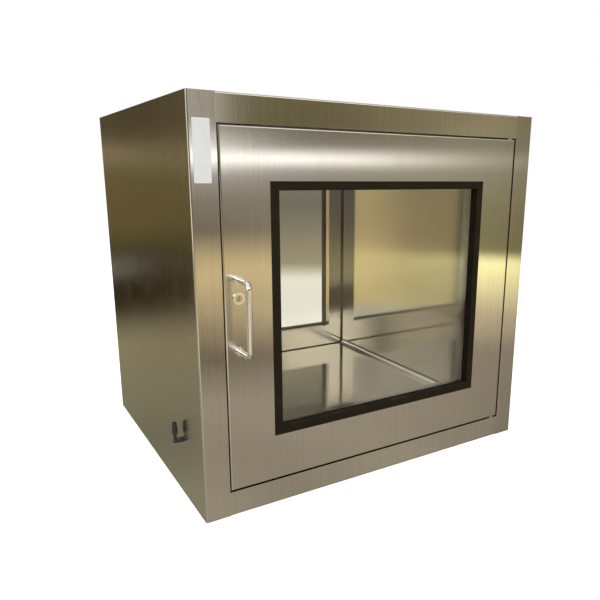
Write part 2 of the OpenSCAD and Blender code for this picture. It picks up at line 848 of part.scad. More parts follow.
module window_frame_section() {
    translate([frame_out, sheet_t]) square([sheet_t, rebate_y]);
    translate([rebate_in, rebate_y]) square([rebate_w + sheet_t, sheet_t]);
    translate([rebate_in, rebate_y]) square([sheet_t, door_t - sheet_t - rebate_y]);
}

module window_glass() {
    color([0.8, 0.9, 0.9, 0.3])
        window_hole(frame_out - glass_gap, -half_d + glass_recess, glass_t);
}

// Black rubber round the pane: a lip on the skin, and a body that reaches in to the pane
module window_gasket() {
    edge_r = gasket_proud / 2;
    color("black") translate([0, -half_d, mid_z])
        mitred_frame(window_w, window_h, gasket_face) {
            union() {
                square([frame_out, glass_recess]);
                translate([0, -gasket_proud + edge_r]) square([gasket_face, gasket_proud - edge_r]);
                translate([edge_r, -gasket_proud])
                    square([gasket_face - 2 * edge_r, gasket_proud]);
                for (x = [edge_r, gasket_face - edge_r])
                    translate([x, -gasket_proud + edge_r]) circle(edge_r);
            }
        }
}

// Bedding tape between the pane and the rebate
module glazing_tape() {
    color("black") difference() {
        window_hole(frame_out, -half_d + tape_y, tape_t);
        window_hole(0, -half_d + tape_y - over, tape_t + 2 * over);
    }
}

// A hollow bulb seal round the inner face, outside the chamber's edge
module door_seal() {
    color("black") translate([0, door_back_y, mid_z])
        mitred_frame(seal_open_w, seal_open_h, seal_w) {
            difference() {
                union() {
                    square([seal_w, seal_base_t]);
                    translate([seal_w / 2, seal_h - bulb_r]) circle(bulb_r);
                }
                translate([seal_w / 2, seal_h - bulb_r]) circle(bulb_r - seal_wall);
                translate([0, -seal_w]) square([seal_w, seal_w]);
            }
        }
}

// Blocks welded in the corners of the outer skin, bored for the bushes
module pivot_blocks() {
    color("gray") difference() {
        intersection() {
            translate([0, -half_d + sheet_t, mid_z])
                pan_form(door_w - 2 * sheet_t, door_h - 2 * sheet_t, skin_depth, inner_r);
            at_both_ends() translate([-block_l / 2, -pivot_back, door_gap])
                cube([block_l, 2 * pivot_back + sheet_t, sheet_t + block_h]);
        }
        rod_z([pivot_x, pivot_y, mid_z - door_h / 2], door_h, bush_r);
    }
}

// Flanged bushes: the flange carries the door on the pocket wall
module pivot_bushes() {
    color("goldenrod") at_both_ends() difference() {
        union() {
            rod_z([0, 0, bush_play], bush_flange_t, bush_flange_r);
            rod_z([0, 0, bush_play], bush_flange_t + sheet_t + block_h, bush_r);
        }
        rod_z([0, 0, 0], door_gap + sheet_t + block_h + over, pin_r + pin_clear);
    }
}

// The pull: a bent round bar on two round feet, tapped for its screws
module handle() {
    leg_l = handle_out - handle_r - handle_bend;
    run = handle_c / 2 - handle_bend;
    color("whitesmoke") difference() {
        union() {
            at_feet() {
                rod_y([0, -foot_t, 0], foot_t, foot_r);
                rod_y([0, -leg_l, 0], leg_l, handle_r);
            }
            rod_z([grip_x, grip_y, grip_z - run], 2 * run, handle_r);
            translate([grip_x, -half_d - leg_l, grip_z]) for (side = [0, 1]) mirror([0, 0, side])
                translate([0, 0, run]) rotate([180, -90, 0])
                    rotate_extrude(angle = 90) translate([handle_bend, 0]) circle(handle_r);
        }
        at_feet() rod_y([0, -handle_screw_in, 0], handle_screw_in + over, handle_screw_r);
    }
}

// Screws from inside the door into the handle's feet
module handle_screws() {
    head_r = 2 * handle_screw_r;
    color("silver") at_feet() difference() {
        union() {
            rod_y([0, -handle_screw_in, 0], handle_screw_in + sheet_t, handle_screw_r);
            rod_y([0, sheet_t, 0], handle_screw_r + 1, head_r);
        }
        hex_y([0, sheet_t + 1.5, 0], 4, 1.8 * handle_screw_r);
    }
}

// ---- Lock ----

barrel_end_y = cam_y - cam_gap;

// The fixed barrel, with a round collar on the door's face
module lock_barrel() {
    color("lightgray") difference() {
        union() {
            rod_y([grip_x, -half_d - collar_t, lock_z], collar_t, collar_r);
            rod_y([grip_x, -half_d, lock_z], barrel_end_y + half_d, barrel_r);
        }
        rod_y([grip_x, -half_d - collar_t - over, lock_z], barrel_end_y + half_d + collar_t + 2 * over,
              plug_r + plug_clear);
    }
}

module lock_nut() {
    color("silver") difference() {
        hex_y([grip_x, -half_d + sheet_t, lock_z], nut_t, nut_flats);
        rod_y([grip_x, -half_d, lock_z], nut_t + 2 * sheet_t, barrel_r);
    }
}

// The plug that the key turns, with its keyway and a square tail for the cam
module lock_plug() {
    color("gold") difference() {
        union() {
            rod_y([grip_x, -half_d - collar_t, lock_z], cam_y + half_d + collar_t, plug_r);
            translate([grip_x - tail_w / 2, cam_y - over, lock_z - tail_w / 2])
                cube([tail_w, cam_t + over, tail_w]);
            rod_y([grip_x, cam_y + cam_t, lock_z], 2.5, tail_w / 2 + 2);
        }
        translate([grip_x - 0.6, -half_d - collar_t - over, lock_z - 3.5]) cube([1.2, 6, 7]);
    }
}

// The cam hangs down when unlocked, and turns out through the door's edge to lock
module lock_cam() {
    color("silver") translate([grip_x, cam_y + cam_t, lock_z]) rotate([90, 0, 0])
        linear_extrude(cam_t) difference() {
            union() {
                circle(hub_r);
                translate([-cam_w / 2, -cam_l + 2]) square([cam_w, cam_l - 2]);
                translate([-cam_w / 2 + 2, -cam_l]) square([cam_w - 4, 4]);
                for (side = [-1, 1]) translate([side * (cam_w / 2 - 2), -cam_l + 2]) circle(2);
            }
            square([tail_w, tail_w], center = true);
        }
}

// ---- Plate that the magnet holds ----

module armature_plate() {
    color("silver") difference() {
        translate([-magnet_x, door_back_y, magnet_z]) magnet_block(plate_t);
        translate([-magnet_x, plate_y, magnet_z]) rotate([-90, 0, 0]) armature_screw_form();
    }
}

armature_screw_l = 12;

module armature_screw_form() { countersunk(screw_head_r, screw_head_t, screw_r, armature_screw_l); }

module armature_screw() {
    color("silver") translate([-magnet_x, plate_y, magnet_z]) rotate([-90, 0, 0]) difference() {
        armature_screw_form();
        for (turn = [0, 90]) rotate([0, 0, turn]) cube([4, 0.9, 2], center = true);
    }
}

left_side_panel();
right_side_panel();
top_panel();
bottom_panel();
top_panel_screws();
pocket_frame();  // front_pocket_frame
at_rear() pocket_frame();  // rear_pocket_frame
chamber_liner();
floor_channels();
pivot_brackets();
pivot_pins();
lock_strikes();
door_magnets();
lamp_batten();
lamp_holders();
lamp_tube();
lamp_caps();
lamp_ballast();
interlock_controller();
wiring_loom();
gland_elbow();
gland_locknut();
gland_dome_nut();
gland_sleeve();
swung(front_open) door_skin();  // front_door_skin
swung(front_open) door_liner();  // front_door_liner
swung(front_open) window_frame();  // front_window_frame
swung(front_open) window_glass();  // front_window_glass
swung(front_open) window_gasket();  // front_window_gasket
swung(front_open) glazing_tape();  // front_glazing_tape
swung(front_open) door_seal();  // front_door_seal
swung(front_open) pivot_blocks();  // front_pivot_blocks
swung(front_open) pivot_bushes();  // front_pivot_bushes
swung(front_open) handle();  // front_handle
swung(front_open) handle_screws();  // front_handle_screws
swung(front_open) lock_barrel();  // front_lock_barrel
swung(front_open) lock_nut();  // front_lock_nut
swung(front_open) armature_plate();  // front_armature_plate
swung(front_open) armature_screw();  // front_armature_screw
swung(front_open) lock_plug();  // front_lock_plug
swung(front_open) lock_cam();  // front_lock_cam
at_rear() swung(rear_open) door_skin();  // rear_door_skin
at_rear() swung(rear_open) door_liner();  // rear_door_liner
at_rear() swung(rear_open) window_frame();  // rear_window_frame
at_rear() swung(rear_open) window_glass();  // rear_window_glass
at_rear() swung(rear_open) window_gasket();  // rear_window_gasket
at_rear() swung(rear_open) glazing_tape();  // rear_glazing_tape
at_rear() swung(rear_open) door_seal();  // rear_door_seal
at_rear() swung(rear_open) pivot_blocks();  // rear_pivot_blocks
at_rear() swung(rear_open) pivot_bushes();  // rear_pivot_bushes
at_rear() swung(rear_open) handle();  // rear_handle
at_rear() swung(rear_open) handle_screws();  // rear_handle_screws
at_rear() swung(rear_open) lock_barrel();  // rear_lock_barrel
at_rear() swung(rear_open) lock_nut();  // rear_lock_nut
at_rear() swung(rear_open) armature_plate();  // rear_armature_plate
at_rear() swung(rear_open) armature_screw();  // rear_armature_screw
at_rear() swung(rear_open) lock_plug();  // rear_lock_plug
at_rear() swung(rear_open) lock_cam();  // rear_lock_cam
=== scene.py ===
"""Stainless cleanroom pass box: finishes, small fittings, floor, light and camera.

Everything is in metres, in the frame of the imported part: the origin at the middle of
the base, +X to the right seen from the front, +Y to the rear, +Z up.
"""

import logging
import math
from dataclasses import dataclass, field
from enum import Enum

import bmesh
import bpy
from mathutils import Matrix, Vector


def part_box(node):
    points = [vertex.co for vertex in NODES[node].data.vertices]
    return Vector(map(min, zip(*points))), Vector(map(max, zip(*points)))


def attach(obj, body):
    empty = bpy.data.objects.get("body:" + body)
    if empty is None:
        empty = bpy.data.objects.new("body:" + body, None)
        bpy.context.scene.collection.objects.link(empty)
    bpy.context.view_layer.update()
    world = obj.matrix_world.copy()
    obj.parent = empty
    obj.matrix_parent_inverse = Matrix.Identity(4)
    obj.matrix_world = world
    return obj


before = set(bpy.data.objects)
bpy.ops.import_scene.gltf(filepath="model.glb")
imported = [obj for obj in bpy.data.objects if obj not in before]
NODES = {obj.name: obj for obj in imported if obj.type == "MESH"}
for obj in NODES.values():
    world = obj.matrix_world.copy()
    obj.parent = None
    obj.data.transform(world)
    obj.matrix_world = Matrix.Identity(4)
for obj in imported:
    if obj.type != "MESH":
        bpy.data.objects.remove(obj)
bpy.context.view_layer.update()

LOG = logging.getLogger("pass_box")

Colour = tuple[float, float, float]
Triple = tuple[float, float, float]
Socket = bpy.types.NodeSocket
Span = tuple[float, float]
Stops = list[tuple[float, Colour]]
Feed = Socket | float | tuple[float, ...]


# ---------------------------------------------------------------- node trees

# The Mix node's colour sockets, which share their names with its other sockets
MIX_FIRST, MIX_SECOND, MIX_RESULT = 6, 7, 2


class Graph:
    """A node tree that is being filled."""

    def __init__(self, tree: bpy.types.NodeTree) -> None:
        """Takes an empty tree.

        Args:
            tree: The tree that the nodes go into.
        """
        self.tree = tree

    def add(self, kind: str, inputs: dict | None = None, **settings: object) -> bpy.types.Node:
        """Adds one node.

        Args:
            kind: The node's class without the prefix, such as "TexNoise".
            inputs: Values or sockets by input name or number.
            **settings: The node's own properties.

        Returns:
            The node.
        """
        node = self.tree.nodes.new("ShaderNode" + kind)
        for name, value in settings.items():
            setattr(node, name, value)
        for key, value in (inputs or {}).items():
            self.feed(node.inputs[key], value)
        return node

    def feed(self, socket: Socket, value: Feed) -> None:
        """Joins a socket to an input, or sets the input's own value.

        Args:
            socket: The input.
            value: A socket, a number or a tuple.
        """
        if isinstance(value, bpy.types.NodeSocket):
            self.tree.links.new(value, socket)
        elif isinstance(value, tuple) and socket.type == "RGBA" and len(value) == 3:
            socket.default_value = (*value, 1.0)
        else:
            socket.default_value = value

    def math(self, operation: str, a: Feed, b: Feed = 0.0, clamp: bool = False) -> Socket:
        """Adds a Math node.

        Args:
            operation: The node's operation.
            a: First value or socket.
            b: Second value or socket.
            clamp: Whether the result stays in 0..1.

        Returns:
            Its output.
        """
        node = self.add("Math", {0: a, 1: b}, operation=operation, use_clamp=clamp)
        return node.outputs[0]

    def vector(self, operation: str, a: Feed, b: Feed = (0.0, 0.0, 0.0)) -> bpy.types.Node:
        """Adds a Vector Math node.

        Args:
            operation: The node's operation.
            a: First vector or socket.
            b: Second vector or socket.

        Returns:
            The node.
        """
        return self.add("VectorMath", {0: a, 1: b}, operation=operation)

    def smooth(self, value: Socket, low: float, high: float, to: Span = (0.0, 1.0)) -> Socket:
        """Maps a value with a smooth step.

        Args:
            value: The value.
            low: Where the step starts.
            high: Where it ends.
            to: What it runs from and to.

        Returns:
            The mapped value.
        """
        node = self.add(
            "MapRange",
            {"Value": value, 1: low, 2: high, 3: to[0], 4: to[1]},
            interpolation_type="SMOOTHSTEP",
        )
        return node.outputs[0]

    def noise(
        self, vector: Socket, scale: Feed, detail: float = 2.0, roughness: float = 0.5
    ) -> Socket:
        """Adds a noise texture.

        Args:
            vector: Where it is read.
            scale: Its scale, in cycles per metre where the vector is in metres.
            detail: Number of octaves.
            roughness: Weight of the finer octaves.

        Returns:
            Its value.
        """
        inputs = {"Vector": vector, "Scale": scale, "Detail": detail, "Roughness": roughness}
        return self.add("TexNoise", inputs).outputs["Fac"]

    def mix(self, factor: Feed, a: Feed, b: Feed, blend: str = "MIX") -> Socket:
        """Mixes two colours.

        Args:
            factor: Share of the second.
            a: First colour or socket.
            b: Second colour or socket.
            blend: The way they mix.

        Returns:
            The mixed colour.
        """
        node = self.add("Mix", data_type="RGBA", blend_type=blend)
        self.feed(node.inputs[0], factor)
        self.feed(node.inputs[MIX_FIRST], a)
        self.feed(node.inputs[MIX_SECOND], b)
        return node.outputs[MIX_RESULT]

    def ramp(self, factor: Socket, stops: Stops) -> Socket:
        """Adds a colour ramp.

        Args:
            factor: What runs along it.
            stops: Positions and colours.

        Returns:
            Its colour.
        """
        node = self.add("ValToRGB", {"Fac": factor})
        elements = node.color_ramp.elements
        while len(elements) < len(stops):
            elements.new(0.5)
        for element, (position, colour) in zip(elements, sorted(stops)):
            element.position = position
            element.color = (*colour, 1.0)
        return node.outputs["Color"]

    def object_point(self) -> Socket:
        """Returns the point in the object's own frame, in metres."""
        return self.add("TexCoord").outputs["Object"]


class EffectGroup:
    """A shader node group with named sockets, built once and placed in many materials."""

    def __init__(self, name: str, inputs: dict, outputs: dict) -> None:
        """Makes the group with its sockets.

        Args:
            name: The group's name.
            inputs: Default values by input name; a tuple makes a vector socket.
            outputs: Socket types by output name.
        """
        self.tree = bpy.data.node_groups.new(name, "ShaderNodeTree")
        self.graph = Graph(self.tree)
        for label, value in inputs.items():
            kind = "NodeSocketVector" if isinstance(value, tuple) else "NodeSocketFloat"
            socket = self.tree.interface.new_socket(label, in_out="INPUT", socket_type=kind)
            socket.default_value = value
        for label, kind in outputs.items():
            self.tree.interface.new_socket(label, in_out="OUTPUT", socket_type="NodeSocket" + kind)
        self.given = self.tree.nodes.new("NodeGroupInput").outputs
        self.result = self.tree.nodes.new("NodeGroupOutput").inputs

    def put(self, graph: Graph, **values: Feed) -> bpy.types.bpy_prop_collection:
        """Places the group in a material's tree.

        Args:
            graph: The material's graph.
            **values: Input values by name, with _ for a space.

        Returns:
            The placed group's outputs.
        """
        node = graph.tree.nodes.new("ShaderNodeGroup")
        node.node_tree = self.tree
        for label, value in values.items():
            graph.feed(node.inputs[label.replace("_", " ")], value)
        return node.outputs


# Noise values between which a smear, a rubbed spot, a patch of dust and a mottle come up
SMEAR = (0.48, 0.72)
RUBBED = (0.38, 0.62)
DUST_PATCH = (0.35, 0.75)
MOTTLE = (0.3, 0.7)
# How far the rounded normal turns away over an edge, as one minus the cosine
EDGE_TURN = (0.015, 0.16)
# Upright share of the normal between which dust begins to lie and lies fully
LOOKS_UP = (0.6, 1.0)
# Noise values between which a streak goes from dark to bright, and a line from hollow to crest
STREAK = (0.2, 0.8)
LINE = (0.25, 0.75)


class Effects:
    """The effects that the finishes share."""

    def __init__(self) -> None:
        """Builds every group."""
        self.brush_lines = self._brush_lines()
        self.handling = self._handling()
        self.edge_wear = self._edge_wear()
        self.settled_dust = self._settled_dust()
        self.waviness = self._waviness()
        self.fine_skin = self._fine_skin()

    @staticmethod
    def _brush_lines() -> EffectGroup:
        """Returns fine parallel lines left by a belt, and broader streaks among them."""
        group = EffectGroup(
            "brush_lines",
            {"Lines": (2600.0, 2600.0, 14.0), "Streak Share": 0.12},
            {"Height": "Float", "Streak": "Float"},
        )
        g = group.graph
        point = g.object_point()
        fine = g.vector("MULTIPLY", point, group.given["Lines"]).outputs[0]
        broad = g.vector("SCALE", fine)
        g.feed(broad.inputs["Scale"], group.given["Streak Share"])
        g.feed(group.result["Height"], g.noise(fine, 1.0, 3.0, 0.65))
        g.feed(group.result["Streak"], g.noise(broad.outputs[0], 1.0, 2.0, 0.55))
        return group

    @staticmethod
    def _handling() -> EffectGroup:
        """Returns smears and finger marks that wiping leaves."""
        group = EffectGroup("handling_marks", {"Scale": 9.0, "Amount": 1.0}, {"Mask": "Float"})
        g = group.graph
        point = g.object_point()
        drift = g.add("TexNoise", {"Vector": point, "Scale": 4.0, "Detail": 2.0}).outputs["Color"]
        reach = (0.12, 0.12, 0.12)
        bent = g.add("VectorMath", {0: drift, 1: reach, 2: point}, operation="MULTIPLY_ADD")
        cloud = g.noise(bent.outputs[0], group.given["Scale"], 5.0, 0.6)
        smear = g.smooth(cloud, *SMEAR)
        g.feed(group.result["Mask"], g.math("MULTIPLY", smear, group.given["Amount"], clamp=True))
        return group

    @staticmethod
    def _edge_wear() -> EffectGroup:
        """Returns a mask of the outer edges, broken up where they rub."""
        group = EffectGroup("edge_wear", {"Radius": 0.0012, "Amount": 1.0}, {"Mask": "Float"})
        g = group.graph
        bevel = g.add("Bevel", {"Radius": group.given["Radius"]}, samples=4).outputs[0]
        normal = g.add("NewGeometry").outputs["Normal"]
        turned = g.math("SUBTRACT", 1.0, g.vector("DOT_PRODUCT", bevel, normal).outputs["Value"])
        edge = g.smooth(turned, *EDGE_TURN)
        patch = g.smooth(g.noise(g.object_point(), 55.0, 3.0), *RUBBED)
        rubbed = g.math("MULTIPLY", edge, patch)
        worn = g.math("MULTIPLY", rubbed, group.given["Amount"], clamp=True)
        g.feed(group.result["Mask"], worn)
        return group

    @staticmethod
    def _settled_dust() -> EffectGroup:
        """Returns a thin film on faces that look up."""
        group = EffectGroup("settled_dust", {"Amount": 0.3}, {"Mask": "Float"})
        g = group.graph
        normal = g.add("NewGeometry").outputs["Normal"]
        up = g.smooth(g.add("SeparateXYZ", {0: normal}).outputs["Z"], *LOOKS_UP)
        patch = g.smooth(g.noise(g.object_point(), 26.0, 4.0, 0.7), *DUST_PATCH)
        film = g.math("MULTIPLY", g.math("MULTIPLY", up, patch), group.given["Amount"], clamp=True)
        g.feed(group.result["Mask"], film)
        return group

    @staticmethod
    def _waviness() -> EffectGroup:
        """Returns the slow swells of thin sheet, which bend what it mirrors."""
        group = EffectGroup("sheet_waviness", {"Swells": (2.2, 2.2, 3.4)}, {"Height": "Float"})
        g = group.graph
        point = g.vector("MULTIPLY", g.object_point(), group.given["Swells"]).outputs[0]
        g.feed(group.result["Height"], g.noise(point, 1.0, 1.0, 0.3))
        return group

    @staticmethod
    def _fine_skin() -> EffectGroup:
        """Returns the fine grain and slow mottle of moulded or painted faces."""
        group = EffectGroup(
            "fine_skin",
            {"Grain": 1500.0, "Mottle Scale": 30.0},
            {"Height": "Float", "Mottle": "Float"},
        )
        g = group.graph
        point = g.object_point()
        g.feed(group.result["Height"], g.noise(point, group.given["Grain"], 2.0, 0.6))
        g.feed(group.result["Mottle"], g.noise(point, group.given["Mottle Scale"], 3.0, 0.5))
        return group


EFFECTS = Effects()


# ---------------------------------------------------------------- finishes


class Grain(Enum):
    """Which way the brush lines run, as lines per metre along X, Y and Z.

    UPRIGHT lines stand on every wall. OVER_THE_TOP lines run up one rail, over the
    sheet and down the other rail.
    """

    UPRIGHT = (2600.0, 2600.0, 14.0)
    OVER_THE_TOP = (2600.0, 14.0, 14.0)


def new_material(name: str, colour: Colour) -> tuple[bpy.types.Material, Graph]:
    """Makes an empty node material.

    Args:
        name: The material's name.
        colour: Its colour in the viewport.

    Returns:
        The material and its graph.
    """
    material = bpy.data.materials.new(name)
    material.use_nodes = True
    material.node_tree.nodes.clear()
    material.diffuse_color = (*colour, 1.0)
    return material, Graph(material.node_tree)


def principled(graph: Graph, inputs: dict) -> bpy.types.Node:
    """Adds the Principled shader and the material's output.

    Args:
        graph: The material's graph.
        inputs: Values or sockets by input name.

    Returns:
        The shader node.
    """
    shader = graph.add("BsdfPrincipled", inputs)
    graph.add("OutputMaterial", {"Surface": shader.outputs[0]})
    return shader


MARKED_STEEL: Colour = (0.50, 0.47, 0.42)
RUBBED_STEEL: Colour = (0.80, 0.78, 0.74)
DUSTY_STEEL: Colour = (0.62, 0.60, 0.56)
# How far marks tint the steel, and what marks, lines and dust add to its roughness
MARK_TINT = 0.25
MARK_ROUGHNESS = 0.03
LINE_ROUGHNESS = (-0.02, 0.02)
DUST_ROUGHNESS = 0.2


@dataclass(frozen=True)
class SteelFinish:
    """Brushed or polished sheet steel.

    Attributes:
        name: The material's name.
        colour: Colour of the clean metal.
        roughness: Its roughness between marks.
        anisotropy: How far reflections are drawn out across the grain.
        grain: Which way the lines run.
        line_depth: Depth of the lines, in metres.
        swell_depth: Depth of the sheet's slow swells, in metres.
        swells: Swells per metre along X, Y and Z.
        marks: How strongly handling shows.
        dust: How much settles on upward faces.
        worn: How bright the rubbed edges are.
        streaks: How dark and how bright the broader streaks go.
    """

    name: str
    colour: Colour = (0.66, 0.64, 0.60)
    roughness: float = 0.06
    anisotropy: float = 1.0
    grain: Grain = Grain.UPRIGHT
    line_depth: float = 0.000012
    swell_depth: float = 0.0006
    swells: Triple = (2.2, 2.2, 3.4)
    marks: float = 0.6
    dust: float = 0.15
    worn: float = 0.5
    streaks: Span = (0.96, 1.03)

    def make(self) -> bpy.types.Material:
        """Returns the material."""
        material, g = new_material(self.name, self.colour)
        lines = EFFECTS.brush_lines.put(g, Lines=self.grain.value)
        marks = EFFECTS.handling.put(g, Amount=self.marks)["Mask"]
        dust = EFFECTS.settled_dust.put(g, Amount=self.dust)["Mask"]
        worn = EFFECTS.edge_wear.put(g, Amount=self.worn)["Mask"]
        swell = EFFECTS.waviness.put(g, Swells=self.swells)["Height"]
        shade = g.smooth(lines["Streak"], *STREAK, self.streaks)
        shades = g.add("CombineColor", {0: shade, 1: shade, 2: shade}).outputs[0]
        tone = g.mix(1.0, self.colour, shades, "MULTIPLY")
        tone = g.mix(g.math("MULTIPLY", marks, MARK_TINT), tone, MARKED_STEEL)
        tone = g.mix(worn, tone, RUBBED_STEEL)
        tone = g.mix(dust, tone, DUSTY_STEEL)
        rough = g.math("ADD", self.roughness, g.math("MULTIPLY", marks, MARK_ROUGHNESS))
        rough = g.math("ADD", rough, g.smooth(lines["Height"], *LINE, LINE_ROUGHNESS))
        rough = g.math("ADD", rough, g.math("MULTIPLY", dust, DUST_ROUGHNESS), clamp=True)
        slow = g.add("Bump", {"Strength": 1.0, "Distance": self.swell_depth, "Height": swell})
        line = {"Distance": self.line_depth, "Height": lines["Height"], "Normal": slow.outputs[0]}
        fine = g.add("Bump", {"Strength": 1.0, **line})
        if self.grain is Grain.OVER_THE_TOP:
            tangent = g.add("CombineXYZ", {"X": 1.0})
        else:
            tangent = g.add("Tangent", direction_type="RADIAL", axis="Z")
        principled(
            g,
            {
                "Base Color": tone,
                "Metallic": 1.0,
                "Roughness": rough,
                "Anisotropic": self.anisotropy,
                "Tangent": tangent.outputs[0],
                "Normal": fine.outputs[0],
            },
        )
        return material


@dataclass(frozen=True)
class SmallMetalFinish:
    """Turned, plated or cast small metal pieces.

    Attributes:
        name: The material's name.
        colour: Colour of the clean metal.
        roughness: Its roughness.
        grain: Scale of its fine grain, in cycles per metre.
        depth: Depth of that grain, in metres.
        tarnish: Colour of its tarnish spots.
        tarnish_share: How much of it shows.
        worn: How bright the rubbed edges are.
        tarnish_spots: Noise values between which tarnish comes up.
        tarnish_roughness: What it adds to the roughness.
        brightening: How much brighter than the rest rubbed edges are.
    """

    name: str
    colour: Colour
    roughness: float = 0.25
    grain: float = 1800.0
    depth: float = 0.000008
    tarnish: Colour = (0.35, 0.33, 0.30)
    tarnish_share: float = 0.25
    worn: float = 0.5
    tarnish_spots: Span = (0.42, 0.7)
    tarnish_roughness: float = 0.12
    brightening: float = 1.18

    def make(self) -> bpy.types.Material:
        """Returns the material."""
        material, g = new_material(self.name, self.colour)
        skin = EFFECTS.fine_skin.put(g, Grain=self.grain, Mottle_Scale=120.0)
        worn = EFFECTS.edge_wear.put(g, Radius=0.0005, Amount=self.worn)["Mask"]
        mottle = g.smooth(skin["Mottle"], *self.tarnish_spots)
        tone = g.mix(g.math("MULTIPLY", mottle, self.tarnish_share), self.colour, self.tarnish)
        bright = tuple(min(1.0, c * self.brightening) for c in self.colour)
        tone = g.mix(worn, tone, bright)
        dulled = g.math("MULTIPLY", mottle, self.tarnish_roughness)
        rough = g.math("ADD", self.roughness, dulled, clamp=True)
        bump = g.add("Bump", {"Strength": 1.0, "Distance": self.depth, "Height": skin["Height"]})
        principled(
            g,
            {
                "Base Color": tone,
                "Metallic": 1.0,
                "Roughness": rough,
                "Normal": bump.outputs[0],
            },
        )
        return material


@dataclass(frozen=True)
class SkinFinish:
    """Rubber, moulded plastic, cable sheath, tape or enamel.

    Attributes:
        name: The material's name.
        colour: Its colour.
        roughness: Its roughness.
        grain: Scale of its fine grain, in cycles per metre.
        depth: Depth of that grain, in metres.
        mottle: How far the colour varies, as a share.
        gloss_coat: Weight of a clear coat, where it has one.
        worn_colour: Colour of rubbed edges.
        worn: How far the edges are rubbed.
        dust: How much settles on upward faces.
        specular: Level of its mirror-like share.
        dust_colour: Colour of that dust.
        unevenness: What the mottle takes from the roughness or adds to it.
        coat_roughness: Roughness of the clear coat.
    """

    name: str
    colour: Colour
    roughness: float = 0.5
    grain: float = 1500.0
    depth: float = 0.00001
    mottle: float = 0.15
    gloss_coat: float = 0.0
    worn_colour: Colour = (0.3, 0.3, 0.3)
    worn: float = 0.2
    dust: float = 0.1
    specular: float = 0.5
    dust_colour: Colour = (0.55, 0.54, 0.52)
    unevenness: Span = (-0.05, 0.06)
    coat_roughness: float = 0.08

    def make(self) -> bpy.types.Material:
        """Returns the material."""
        material, g = new_material(self.name, self.colour)
        skin = EFFECTS.fine_skin.put(g, Grain=self.grain)
        worn = EFFECTS.edge_wear.put(g, Radius=0.0006, Amount=self.worn)["Mask"]
        dust = EFFECTS.settled_dust.put(g, Amount=self.dust)["Mask"]
        dark = tuple(c * (1.0 - self.mottle) for c in self.colour)
        tone = g.mix(g.smooth(skin["Mottle"], *MOTTLE), self.colour, dark)
        tone = g.mix(worn, tone, self.worn_colour)
        tone = g.mix(dust, tone, self.dust_colour)
        uneven = g.smooth(skin["Mottle"], *MOTTLE, self.unevenness)
        rough = g.math("ADD", self.roughness, uneven, clamp=True)
        bump = g.add("Bump", {"Strength": 1.0, "Distance": self.depth, "Height": skin["Height"]})
        principled(
            g,
            {
                "Base Color": tone,
                "Roughness": rough,
                "Specular IOR Level": self.specular,
                "Coat Weight": self.gloss_coat,
                "Coat Roughness": self.coat_roughness,
                "Normal": bump.outputs[0],
            },
        )
        return material


@dataclass(frozen=True)
class PaneFinish:
    """Clear glass that lets the lamps through.

    Attributes:
        name: The material's name.
        tint: Colour of what comes through.
        roughness: Its roughness.
        unevenness: Share of the tint that is left where it is deepest.
        ripple: Depth of the ripples in its face, in metres.
        index: Its index of refraction.
    """

    name: str
    tint: Colour = (0.96, 0.965, 0.945)
    roughness: float = 0.0
    unevenness: float = 0.985
    ripple: float = 0.0000015
    index: float = 1.5

    def make(self) -> bpy.types.Material:
        """Returns the material."""
        material, g = new_material(self.name, self.tint)
        skin = EFFECTS.fine_skin.put(g, Grain=40.0, Mottle_Scale=6.0)
        deeper = tuple(c * self.unevenness for c in self.tint)
        tone = g.mix(g.smooth(skin["Mottle"], *MOTTLE), self.tint, deeper)
        bump = g.add("Bump", {"Strength": 1.0, "Distance": self.ripple, "Height": skin["Height"]})
        glass = g.add(
            "BsdfPrincipled",
            {
                "Base Color": tone,
                "Metallic": 0.0,
                "Roughness": self.roughness,
                "IOR": self.index,
                "Transmission Weight": 1.0,
                "Normal": bump.outputs[0],
            },
        )
        path = g.add("LightPath").outputs
        lamps = g.math("MAXIMUM", path["Is Shadow Ray"], path["Is Diffuse Ray"])
        clear = g.add("BsdfTransparent", {"Color": self.tint})
        both = g.add("MixShader", {0: lamps, 1: glass.outputs[0], 2: clear.outputs[0]})
        g.add("OutputMaterial", {"Surface": both.outputs[0]})
        return material


Finish = SteelFinish | SmallMetalFinish | SkinFinish | PaneFinish

FRONT_STEEL = SteelFinish("brushed_steel_front", roughness=0.1, line_depth=0.00004)
SIDE_STEEL = SteelFinish(
    "brushed_steel_sides",
    roughness=0.08,
    line_depth=0.00006,
    swell_depth=0.0012,
    swells=(1.6, 3.0, 2.6),
)
TOP_STEEL = SteelFinish("brushed_steel_top", grain=Grain.OVER_THE_TOP, marks=0.4)
CHAMBER_STEEL = SteelFinish(
    "polished_chamber_steel", roughness=0.08, anisotropy=0.6, line_depth=0.000004, marks=0.5
)
POCKET_STEEL = SteelFinish("brushed_steel_pockets", roughness=0.16, anisotropy=0.7, marks=0.3)
MILL_STEEL = SteelFinish(
    "mill_steel", colour=(0.50, 0.49, 0.47), roughness=0.42, anisotropy=0.2, marks=0.5
)
PLATED = SmallMetalFinish("zinc_plated_steel", (0.70, 0.70, 0.69), 0.30, tarnish_share=0.2)
CHROME = SmallMetalFinish(
    "bright_chrome", (0.86, 0.86, 0.86), 0.06, depth=0.000002, tarnish_share=0.05
)
NICKEL_PLUG = SmallMetalFinish("satin_nickel_plug", (0.76, 0.73, 0.64), 0.26)
BRONZE = SmallMetalFinish("sintered_bronze", (0.62, 0.45, 0.24), 0.38, grain=3200.0, depth=0.00002)
ALUMINIUM = SmallMetalFinish("satin_aluminium", (0.77, 0.77, 0.78), 0.33)
MAGNET = SkinFinish(
    "magnet_enamel", (0.28, 0.29, 0.30), 0.42, worn_colour=(0.5, 0.5, 0.5), worn=0.5
)
